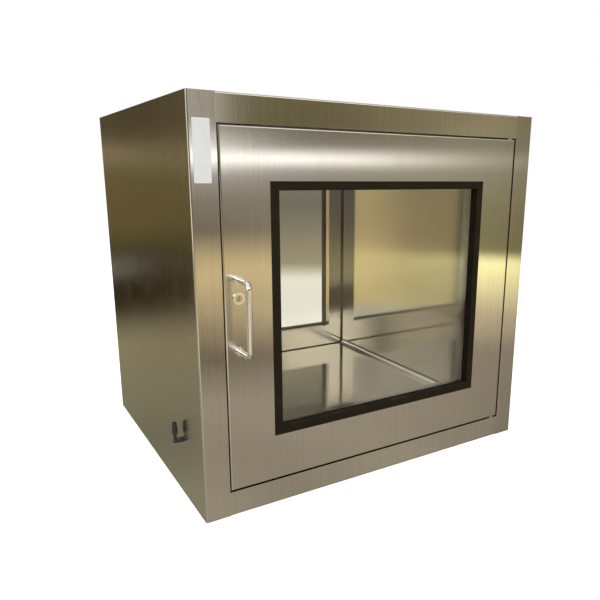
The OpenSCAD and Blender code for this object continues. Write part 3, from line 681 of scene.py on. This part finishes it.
ENAMEL = SkinFinish(
    "white_enamel",
    (0.86, 0.86, 0.84),
    0.25,
    grain=600.0,
    depth=0.000006,
    mottle=0.04,
    gloss_coat=0.6,
    worn_colour=(0.7, 0.7, 0.68),
)
IVORY = SkinFinish(
    "ivory_plastic", (0.82, 0.80, 0.74), 0.42, mottle=0.05, worn_colour=(0.85, 0.84, 0.8)
)
PLATE_FILM = SkinFinish(
    "bare_white_plate",
    (0.70, 0.70, 0.685),
    0.33,
    grain=900.0,
    depth=0.000005,
    mottle=0.05,
    gloss_coat=0.3,
    worn_colour=(0.7, 0.7, 0.68),
)
DARK_PLASTIC = SkinFinish("dark_plastic", (0.045, 0.05, 0.055), 0.45)
SHEATH = SkinFinish("cable_sheath", (0.022, 0.022, 0.022), 0.4, grain=700.0)
NYLON = SkinFinish("black_nylon", (0.02, 0.02, 0.02), 0.38, grain=2200.0, depth=0.00002)
RUBBER = SkinFinish(
    "black_rubber",
    (0.013, 0.009, 0.003),
    0.62,
    grain=2600.0,
    depth=0.000015,
    mottle=0.25,
    worn=0.0,
    dust=0.03,
    specular=0.2,
)
TAPE = SkinFinish("foam_glazing_tape", (0.02, 0.02, 0.02), 0.8, grain=1800.0, depth=0.00004)
WINDOW = PaneFinish("clear_glass")
TUBE = PaneFinish("quartz_tube", (0.95, 0.97, 0.99), 0.02)

SHARED_FINISHES: dict[Finish, list[str]] = {
    SIDE_STEEL: ["left_side_panel", "right_side_panel"],
    TOP_STEEL: ["top_panel", "bottom_panel"],
    CHAMBER_STEEL: ["chamber_liner"],
    POCKET_STEEL: ["front_pocket_frame", "rear_pocket_frame"],
    MILL_STEEL: ["floor_channels", "pivot_brackets", "lock_strikes"],
    PLATED: ["top_panel_screws", "pivot_pins"],
    MAGNET: ["door_magnets"],
    ENAMEL: ["lamp_batten", "lamp_ballast"],
    IVORY: ["lamp_holders"],
    TUBE: ["lamp_tube"],
    ALUMINIUM: ["lamp_caps"],
    DARK_PLASTIC: ["interlock_controller"],
    SHEATH: ["wiring_loom"],
    NYLON: ["gland_elbow", "gland_locknut", "gland_dome_nut"],
    RUBBER: ["gland_sleeve"],
}
DOOR_FINISHES: dict[Finish, list[str]] = {
    FRONT_STEEL: ["door_skin", "window_frame"],
    POCKET_STEEL: ["door_liner"],
    WINDOW: ["window_glass"],
    RUBBER: ["window_gasket", "door_seal"],
    TAPE: ["glazing_tape"],
    MILL_STEEL: ["pivot_blocks"],
    BRONZE: ["pivot_bushes"],
    CHROME: ["handle", "lock_barrel"],
    PLATED: ["handle_screws", "lock_nut", "armature_plate", "armature_screw", "lock_cam"],
    NICKEL_PLUG: ["lock_plug"],
}


class Finisher:
    """Makes each finish once and puts it on nodes and pieces."""

    def __init__(self) -> None:
        """Starts with no material made."""
        self.made: dict[str, bpy.types.Material] = {}

    def material(self, finish: Finish) -> bpy.types.Material:
        """Returns a finish's material, made the first time it is asked for.

        Args:
            finish: The finish.

        Returns:
            Its material.
        """
        if finish.name not in self.made:
            self.made[finish.name] = finish.make()
        return self.made[finish.name]

    def dress_node(self, node: str, finish: Finish) -> None:
        """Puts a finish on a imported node.

        Args:
            node: The node's name.
            finish: Its finish.
        """
        for slot in NODES[node].material_slots:
            slot.material = self.material(finish)
        LOG.info("dressed %s in %s", node, finish.name)

    def dress_piece(self, piece: bpy.types.Object, finish: Finish) -> None:
        """Puts a finish on a piece of this scene.

        Args:
            piece: The piece.
            finish: Its finish.
        """
        piece.data.materials.clear()
        piece.data.materials.append(self.material(finish))


FINISHER = Finisher()


def mesh_piece(
    name: str, mesh: bmesh.types.BMesh, finish: Finish, body: str
) -> bpy.types.Object:
    """Turns a mesh into a named piece that rides on a body.

    Args:
        name: The piece's name.
        mesh: Its mesh, in the part's frame. It is freed.
        finish: Its finish.
        body: The body that carries it.

    Returns:
        The piece.
    """
    bmesh.ops.recalc_face_normals(mesh, faces=mesh.faces)
    data = bpy.data.meshes.new(name)
    mesh.to_mesh(data)
    mesh.free()
    piece = bpy.data.objects.new(name, data)
    bpy.context.scene.collection.objects.link(piece)
    FINISHER.dress_piece(piece, finish)
    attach(piece, body)
    LOG.info("built %s on %s", name, body)
    return piece


def rounded_outline(width: float, height: float, radius: float, steps: int = 6) -> list[Span]:
    """Gives the outline of a rectangle with round corners.

    Args:
        width: Its width.
        height: Its height.
        radius: Its corner radius.
        steps: Segments in each corner.

    Returns:
        Points in order, about its middle.
    """
    points = []
    for turn, (sx, sy) in enumerate([(1, 1), (-1, 1), (-1, -1), (1, -1)]):
        cx, cy = sx * (width / 2 - radius), sy * (height / 2 - radius)
        for i in range(steps + 1):
            a = math.radians(90 * (turn + i / steps))
            points.append((cx + radius * math.cos(a), cy + radius * math.sin(a)))
    return points


# ---------------------------------------------------------------- pieces


@dataclass
class Cabinet:
    """The cabinet's small fittings and its finish.

    Attributes:
        plate_low: Lower left corner of the bare plate on the left stile, X and Z.
        plate_high: Its upper right corner.
        plate_t: Its thickness.
        plate_r: Its corner radius.
    """

    plate_low: Span = (-0.3385, 0.534)
    plate_high: Span = (-0.3125, 0.623)
    plate_t: float = 0.0006
    plate_r: float = 0.0015

    def build(self) -> None:
        """Builds the bare plate on the front of the left stile."""
        face_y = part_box("left_side_panel")[0].y
        width = self.plate_high[0] - self.plate_low[0]
        height = self.plate_high[1] - self.plate_low[1]
        cx = (self.plate_high[0] + self.plate_low[0]) / 2
        cz = (self.plate_high[1] + self.plate_low[1]) / 2
        soft = self.plate_t / 2
        mesh = bmesh.new()
        rings = []
        for inset, y in ((0.0, face_y), (0.0, face_y - soft), (soft, face_y - self.plate_t)):
            outline = rounded_outline(width - 2 * inset, height - 2 * inset, self.plate_r - inset)
            rings.append([mesh.verts.new((cx + x, y, cz + z)) for x, z in outline])
        for a, b in zip(rings, rings[1:]):
            for i in range(len(a)):
                j = (i + 1) % len(a)
                mesh.faces.new((a[i], a[j], b[j], b[i]))
        mesh.faces.new(rings[0])
        mesh.faces.new(rings[-1])
        mesh_piece("bare_plate", mesh, PLATE_FILM, "cabinet")

    def dress(self) -> None:
        """Puts the finishes on the cabinet's nodes."""
        for finish, names in SHARED_FINISHES.items():
            for name in names:
                FINISHER.dress_node(name, finish)


class Side(Enum):
    """The two doors."""

    FRONT = "front"
    REAR = "rear"


@dataclass
class Door:
    """One door with its window, handle and lock.

    Attributes:
        side: Which door it is.
    """

    side: Side

    def dress(self) -> None:
        """Puts the finishes on the door's nodes."""
        for finish, names in DOOR_FINISHES.items():
            for name in names:
                FINISHER.dress_node(f"{self.side.value}_{name}", finish)


# ---------------------------------------------------------------- surroundings

# Colours by rise in degrees above the level, for each sector of the room
BANDS: dict[str, Stops] = {
    # What the left half of a front face mirrors
    "near_left": [
        (-45, (0.32, 0.285, 0.22)),
        (-21, (0.43, 0.38, 0.29)),
        (-17, (0.26, 0.22, 0.16)),
        (-13, (0.77, 0.62, 0.38)),
        (-9, (0.90, 0.73, 0.40)),
        (-5.5, (0.365, 0.315, 0.235)),
        (-2.5, (0.37, 0.34, 0.27)),
        (0.2, (0.50, 0.48, 0.43)),
        (1.1, (2.3, 2.25, 2.15)),
        (2.2, (0.26, 0.245, 0.22)),
        (3.3, (0.26, 0.235, 0.185)),
        (4.2, (0.20, 0.165, 0.085)),
        (9, (0.22, 0.19, 0.11)),
        (13, (2.2, 2.1, 1.8)),
        (20, (2.2, 2.1, 1.8)),
        (30, (0.45, 0.43, 0.38)),
        (45, (1.0, 0.98, 0.94)),
    ],
    # The same at the left stile
    "near_edge": [
        (-45, (0.40, 0.36, 0.28)),
        (-21, (0.43, 0.38, 0.29)),
        (-17.5, (0.19, 0.15, 0.095)),
        (-14, (0.36, 0.28, 0.16)),
        (-10, (0.82, 0.63, 0.34)),
        (-8, (0.72, 0.56, 0.31)),
        (-5.5, (0.21, 0.17, 0.115)),
        (-2.5, (0.33, 0.30, 0.24)),
        (0.2, (0.62, 0.60, 0.56)),
    ],
    # The right half of a front face
    "near_right": [
        (-45, (0.31, 0.275, 0.215)),
        (-22, (0.40, 0.35, 0.27)),
        (-16, (0.45, 0.385, 0.29)),
        (-13, (0.88, 0.74, 0.50)),
        (-8, (2.0, 1.85, 0.92)),
        (-7, (0.33, 0.29, 0.14)),
        (-2.5, (0.385, 0.34, 0.19)),
        (0.2, (0.42, 0.39, 0.27)),
        (1.1, (0.52, 0.48, 0.35)),
        (2.2, (0.38, 0.35, 0.24)),
        (4.2, (0.40, 0.335, 0.20)),
        (9, (0.38, 0.335, 0.22)),
        (13, (1.5, 1.4, 1.15)),
        (20, (1.5, 1.4, 1.15)),
        (30, (0.45, 0.43, 0.38)),
        (45, (1.0, 0.98, 0.94)),
    ],
    # The left side panel
    "far_left": [
        (-45, (0.26, 0.24, 0.18)),
        (-24, (0.25, 0.232, 0.17)),
        (-15, (0.275, 0.24, 0.15)),
        (-12, (0.022, 0.016, 0.009)),
        (-8, (0.024, 0.016, 0.008)),
        (-5, (0.13, 0.10, 0.042)),
        (0.0, (0.14, 0.11, 0.05)),
        (1.4, (0.32, 0.26, 0.16)),
        (2.4, (0.10, 0.075, 0.041)),
        (10, (0.08, 0.06, 0.034)),
        (25, (0.3, 0.288, 0.26)),
        (45, (1.0, 0.98, 0.94)),
    ],
    # Faces that look to the left and the front
    "beside": [
        (-45, (0.35, 0.32, 0.26)),
        (-9, (0.36, 0.30, 0.20)),
        (-6, (1.25, 1.20, 1.05)),
        (12, (1.3, 1.26, 1.15)),
        (20, (0.9, 0.88, 0.82)),
        (45, (1.0, 0.98, 0.94)),
    ],
    # The inner faces of the rear door
    "facing": [
        (-45, (0.34, 0.31, 0.25)),
        (-20, (0.60, 0.54, 0.43)),
        (-16, (0.86, 0.75, 0.60)),
        (-12, (0.68, 0.60, 0.45)),
        (-8.5, (0.40, 0.33, 0.19)),
        (-4, (0.16, 0.145, 0.12)),
        (9, (0.17, 0.155, 0.13)),
        (12, (2.4, 2.28, 1.95)),
        (20, (2.4, 2.28, 1.95)),
        (30, (0.45, 0.43, 0.38)),
        (45, (1.0, 0.98, 0.94)),
    ],
    # The chamber, through the rear window
    "rear_left": [
        (-45, (0.35, 0.34, 0.31)),
        (-20, (0.48, 0.44, 0.35)),
        (-13, (0.60, 0.57, 0.45)),
        (-12, (0.88, 0.70, 0.34)),
        (-7.5, (0.95, 0.76, 0.36)),
        (-6.5, (0.74, 0.57, 0.28)),
        (2, (0.66, 0.52, 0.27)),
        (12, (0.45, 0.40, 0.30)),
        (30, (0.9, 0.88, 0.84)),
        (45, (1.0, 0.98, 0.94)),
    ],
    # The same, nearer its right end
    "rear_right": [
        (-45, (0.35, 0.34, 0.31)),
        (-20, (0.42, 0.38, 0.30)),
        (-13, (0.52, 0.49, 0.38)),
        (-12, (0.62, 0.54, 0.27)),
        (-8, (0.66, 0.57, 0.27)),
        (-6.5, (0.42, 0.335, 0.18)),
        (2, (0.38, 0.31, 0.17)),
        (12, (0.35, 0.31, 0.22)),
        (30, (0.9, 0.88, 0.84)),
        (45, (1.0, 0.98, 0.94)),
    ],
    # The chamber floor, and faces that look to the rear
    "behind": [
        (-45, (0.35, 0.34, 0.31)),
        (-20, (0.60, 0.57, 0.50)),
        (-10, (1.0, 0.96, 0.84)),
        (-3, (0.40, 0.36, 0.26)),
        (4, (0.45, 0.42, 0.34)),
        (13, (0.44, 0.40, 0.31)),
        (17, (0.38, 0.35, 0.27)),
        (19, (0.20, 0.185, 0.13)),
        (21, (0.11, 0.105, 0.07)),
        (32, (0.10, 0.095, 0.065)),
        (45, (0.9, 0.88, 0.84)),
    ],
    # What stands behind the rear window itself
    "see_through": [
        (-45, (1.0, 1.0, 0.97)),
        (-10, (0.93, 0.90, 0.78)),
        (-8.6, (0.33, 0.29, 0.19)),
        (-6, (0.27, 0.235, 0.16)),
        (-3, (0.17, 0.155, 0.11)),
        (8, (0.3, 0.28, 0.22)),
        (20, (1.0, 1.0, 1.0)),
    ],
}

# Where one sector gives way to the next, as turn in degrees
TURNS: dict[str, Span] = {
    "stile_to_door": (20.3, 21.3),
    "left_to_right": (28.5, 46.0),
    "into_dim_end": (47.3, 48.6),
    "lamp_ends": (21.0, 19.6),
    "front_begins": (2.0, 12.0),
    "front_ends": (110.0, 70.0),
    "beside_begins": (-125.0, -110.0),
    "beside_ends": (12.0, 2.0),
    "behind_begins": (70.0, 110.0),
    "far_begins": (-150.0, -158.0),
    "far_ends": (-180.0, -174.0),
    "into_facing": (-75.0, -55.0),
    "into_rear_right": (-146.0, -141.0),
    "glint_begins": (-168.2, -168.9),
}
# Where the lamp's and the glint's light begins and ends, as rise in degrees
RISES: dict[str, Span] = {
    "lamp_foot": (-0.8, 0.8),
    "lamp_head": (4.4, 1.8),
    "glint_foot": (-9.8, -9.0),
    "glint_head": (-7.4, -8.2),
}
RISE_LIMIT = 45.0


@dataclass(frozen=True)
class RoomLight:
    """Colours and strengths of the room besides its bands.

    Attributes:
        black: What the dim end is mixed with.
        dim_share: How far the right end of the front is dimmed.
        lamp: Colour of the light that stands at the left of the front.
        glint: Colour of the glint on the left side.
        glint_share: How far it covers what lies there.
        smudges: Blotches of the left side, by noise value.
        smudge_scale: Blotches per degree of turn and of rise.
        clutter: Blotches of the whole room, by noise value.
        clutter_scale: How fine those are.
        clutter_share: How far they show.
        even: What mat faces receive from every side.
        white: What the eye sees past the part.
    """

    black: Colour = (0.0, 0.0, 0.0)
    dim_share: float = 0.5
    lamp: Colour = (1.6, 1.58, 1.5)
    glint: Colour = (0.62, 0.60, 0.52)
    glint_share: float = 0.4
    smudges: tuple[tuple[float, Colour], ...] = (
        (0.36, (0.62, 0.62, 0.52)),
        (0.5, (1.0, 1.0, 0.95)),
        (0.66, (1.55, 1.5, 1.3)),
    )
    smudge_scale: Span = (0.38, 0.11)
    clutter: tuple[tuple[float, Colour], ...] = (
        (0.35, (0.6, 0.58, 0.56)),
        (0.62, (1.35, 1.35, 1.3)),
    )
    clutter_scale: float = 5.5
    clutter_share: float = 0.35
    even: Colour = (0.55, 0.55, 0.55)
    white: Colour = (1.0, 1.0, 1.0)


class Room:
    """The world: white to the eye, an even light for mat faces, and a banded room for metal.

    A direction is given by its rise above the level and by its turn from -Y towards +X.
    """

    def __init__(self, light: RoomLight) -> None:
        """Empties the world and measures where each ray goes.

        Args:
            light: The room's colours and strengths.
        """
        self.light = light
        world = bpy.data.worlds.new("surroundings")
        bpy.context.scene.world = world
        world.use_nodes = True
        world.cycles.sampling_method = "NONE"
        world.node_tree.nodes.clear()
        self.graph = g = Graph(world.node_tree)
        self.way = g.add("TexCoord").outputs["Generated"]
        x, y, z = g.add("SeparateXYZ", {0: self.way}).outputs
        degrees = 180 / math.pi
        self.rise = g.math("MULTIPLY", g.math("ARCSINE", z), degrees)
        self.turn = g.math("MULTIPLY", g.math("ARCTAN2", x, g.math("MULTIPLY", y, -1.0)), degrees)

    def bands(self, name: str) -> Socket:
        """Makes a sector's colour from its bands.

        Args:
            name: The sector's name in BANDS.

        Returns:
            The colour.
        """
        g, span = self.graph, 2 * RISE_LIMIT
        place = g.math("DIVIDE", g.math("ADD", self.rise, RISE_LIMIT), span, clamp=True)
        return g.ramp(place, [((rise + RISE_LIMIT) / span, colour) for rise, colour in BANDS[name]])

    def turned(self, name: str, to: Span = (0.0, 1.0)) -> Socket:
        """Makes a fade over turn.

        Args:
            name: The fade's name in TURNS.
            to: What it runs from and to.

        Returns:
            Its value.
        """
        return self.graph.smooth(self.turn, *TURNS[name], to)

    def risen(self, name: str) -> Socket:
        """Returns the fade over rise that RISES gives for a name."""
        return self.graph.smooth(self.rise, *RISES[name])

    def all_of(self, *masks: Socket) -> Socket:
        """Returns the product of some masks."""
        product = masks[0]
        for mask in masks[1:]:
            product = self.graph.math("MULTIPLY", product, mask)
        return product

    def front(self) -> Socket:
        """Returns what the front faces mirror."""
        g, light = self.graph, self.light
        left = g.mix(self.turned("stile_to_door"), self.bands("near_edge"), self.bands("near_left"))
        front = g.mix(self.turned("left_to_right"), left, self.bands("near_right"))
        front = g.mix(self.turned("into_dim_end", (0.0, light.dim_share)), front, light.black)
        lamp = self.all_of(
            self.turned("lamp_ends"), self.risen("lamp_foot"), self.risen("lamp_head")
        )
        return g.mix(lamp, front, light.lamp)

    def far_left(self) -> Socket:
        """Returns what the left side mirrors: dark bands with blotches and one glint."""
        g, light = self.graph, self.light
        across, up = light.smudge_scale
        along = g.math("MULTIPLY", self.turn, across)
        spread = g.add("CombineXYZ", {"X": along, "Y": g.math("MULTIPLY", self.rise, up)})
        smudge = g.ramp(g.noise(spread.outputs[0], 1.0, 3.0, 0.55), list(light.smudges))
        side = g.mix(1.0, self.bands("far_left"), smudge, "MULTIPLY")
        glint = self.all_of(
            self.turned("glint_begins"), self.risen("glint_foot"), self.risen("glint_head")
        )
        return g.mix(g.math("MULTIPLY", glint, light.glint_share), side, light.glint)

    def mirrored(self) -> Socket:
        """Returns the whole room, as metal and glass mirror it."""
        g, light = self.graph, self.light
        is_front = self.all_of(self.turned("front_begins"), self.turned("front_ends"))
        is_beside = self.all_of(self.turned("beside_begins"), self.turned("beside_ends"))
        is_far = self.all_of(self.turned("far_begins"), self.turned("far_ends"))
        beside = g.mix(self.turned("into_facing"), self.bands("beside"), self.bands("facing"))
        is_right = self.turned("into_rear_right")
        rear = g.mix(is_right, self.bands("rear_left"), self.bands("rear_right"))
        room = g.mix(self.turned("behind_begins"), rear, self.bands("behind"))
        room = g.mix(is_front, room, self.front())
        room = g.mix(is_beside, room, beside)
        room = g.mix(is_far, room, self.far_left())
        blotches = g.ramp(g.noise(self.way, light.clutter_scale, 4.0, 0.6), list(light.clutter))
        return g.mix(light.clutter_share, room, g.mix(1.0, room, blotches, "MULTIPLY"))

    def build(self) -> None:
        """Chooses by the kind of ray and sets the background."""
        g, light = self.graph, self.light
        path = g.add("LightPath").outputs
        unmirrored = g.math("LESS_THAN", path["Glossy Depth"], 0.5)
        through = g.math("MULTIPLY", path["Is Transmission Ray"], unmirrored)
        seen = g.math("MAXIMUM", path["Is Camera Ray"], through, clamp=True)
        sharp = g.math("MAXIMUM", path["Is Glossy Ray"], path["Is Transmission Ray"])
        received = g.mix(sharp, light.even, self.mirrored())
        looked_at = g.mix(through, light.white, self.bands("see_through"))
        back = g.add("Background", {"Color": g.mix(seen, received, looked_at), "Strength": 1.0})
        g.add("OutputWorld", {"Surface": back.outputs[0]})


# ---------------------------------------------------------------- studio

SENSOR = 36.0
NEAREST = 0.01


@dataclass
class Studio:
    """Floor, lamps and camera.

    Attributes:
        eye: The camera's place.
        heading: Its turn from +Y towards +X, in degrees.
        pitch: How far it looks down, in degrees.
        roll: Its roll, in degrees.
        lens: Focal length on a sensor of SENSOR width, both in millimetres.
        shift: Horizontal and vertical shift.
        floor_r: Radius of the floor.
        floor_z: Its height, just under the part.
        floor_grey: Its colour.
        floor_glow: Light of its own that it sends to the eye.
        aim: What the lamps point at.
        lamps: Name, place, diameter and power of each lamp, in metres and watts.
    """

    eye: Triple = (-0.618, -1.137, 0.5516)
    heading: float = 32.790
    pitch: float = 13.211
    roll: float = 0.603
    lens: float = 35.867
    shift: Span = (-0.0834, 0.0207)
    floor_r: float = 30.0
    floor_z: float = -0.0005
    floor_grey: float = 0.80
    floor_glow: float = 0.62
    aim: Triple = (0.0, 0.0, 0.33)
    lamps: list[tuple[str, Triple, float, float]] = field(
        default_factory=lambda: [
            ("lamp_over", (-0.6, -0.5, 2.4), 1.8, 26.0),
            ("lamp_front", (-1.2, -2.4, 1.5), 1.4, 22.0),
            ("lamp_right", (2.2, -0.6, 1.4), 1.2, 10.0),
            ("lamp_back", (0.5, 2.4, 1.6), 1.4, 12.0),
        ]
    )

    def camera(self) -> None:
        """Places the camera."""
        yaw, pitch, roll = (math.radians(v) for v in (self.heading, self.pitch, self.roll))
        level = math.cos(pitch)
        ahead = Vector((math.sin(yaw) * level, math.cos(yaw) * level, -math.sin(pitch)))
        right = Vector((math.cos(yaw), -math.sin(yaw), 0.0))
        up = right.cross(ahead)
        right, up = (
            math.cos(roll) * right + math.sin(roll) * up,
            -math.sin(roll) * right + math.cos(roll) * up,
        )
        data = bpy.data.cameras.new("camera")
        data.sensor_width = SENSOR
        data.lens = self.lens
        data.shift_x, data.shift_y = self.shift
        data.clip_start = NEAREST
        camera = bpy.data.objects.new("camera", data)
        bpy.context.scene.collection.objects.link(camera)
        matrix = Matrix.Identity(4)
        for column, axis in enumerate((right, up, -ahead)):
            for row in range(3):
                matrix[row][column] = axis[row]
        matrix.translation = Vector(self.eye)
        camera.matrix_world = matrix
        bpy.context.scene.camera = camera

    def floor(self) -> None:
        """Lays a pale floor that keeps the shadow."""
        mesh = bmesh.new()
        corners = 64
        angles = [i * math.tau / corners for i in range(corners)]
        r, z = self.floor_r, self.floor_z
        mesh.faces.new([mesh.verts.new((r * math.cos(a), r * math.sin(a), z)) for a in angles])
        data = bpy.data.meshes.new("floor")
        mesh.to_mesh(data)
        mesh.free()
        floor = bpy.data.objects.new("floor", data)
        bpy.context.scene.collection.objects.link(floor)
        material, g = new_material("pale_floor", (1.0, 1.0, 1.0))
        shadow = g.add("BsdfDiffuse", {"Color": (self.floor_grey,) * 3})
        glow = g.add("Emission", {"Color": (1.0, 1.0, 1.0), "Strength": self.floor_glow})
        seen = g.add("LightPath").outputs["Is Camera Ray"]
        lit = g.add("AddShader", {0: shadow.outputs[0], 1: glow.outputs[0]})
        both = g.add("MixShader", {0: seen, 1: shadow.outputs[0], 2: lit.outputs[0]})
        g.add("OutputMaterial", {"Surface": both.outputs[0]})
        data.materials.append(material)
        floor.visible_glossy = False
        floor.visible_transmission = False

    def light(self) -> None:
        """Hangs the soft lamps, which metal doesn't mirror."""
        aim = Vector(self.aim)
        for name, place, size, power in self.lamps:
            data = bpy.data.lights.new(name, "AREA")
            data.shape = "DISK"
            data.size = size
            data.energy = power
            lamp = bpy.data.objects.new(name, data)
            lamp.location = place
            lamp.rotation_euler = (aim - Vector(place)).to_track_quat("-Z", "Y").to_euler()
            lamp.visible_glossy = False
            lamp.visible_transmission = False
            bpy.context.scene.collection.objects.link(lamp)


def main() -> None:
    """Builds the part's fittings, dresses every node and sets the studio."""
    logging.basicConfig(level=logging.INFO, format="%(name)s: %(message)s")
    bpy.context.scene.view_settings.view_transform = "Standard"
    studio = Studio()
    studio.camera()
    studio.floor()
    Room(RoomLight()).build()
    studio.light()
    cabinet = Cabinet()
    cabinet.build()
    cabinet.dress()
    for side in Side:
        Door(side).dress()


if __name__ == "__main__":
    main()
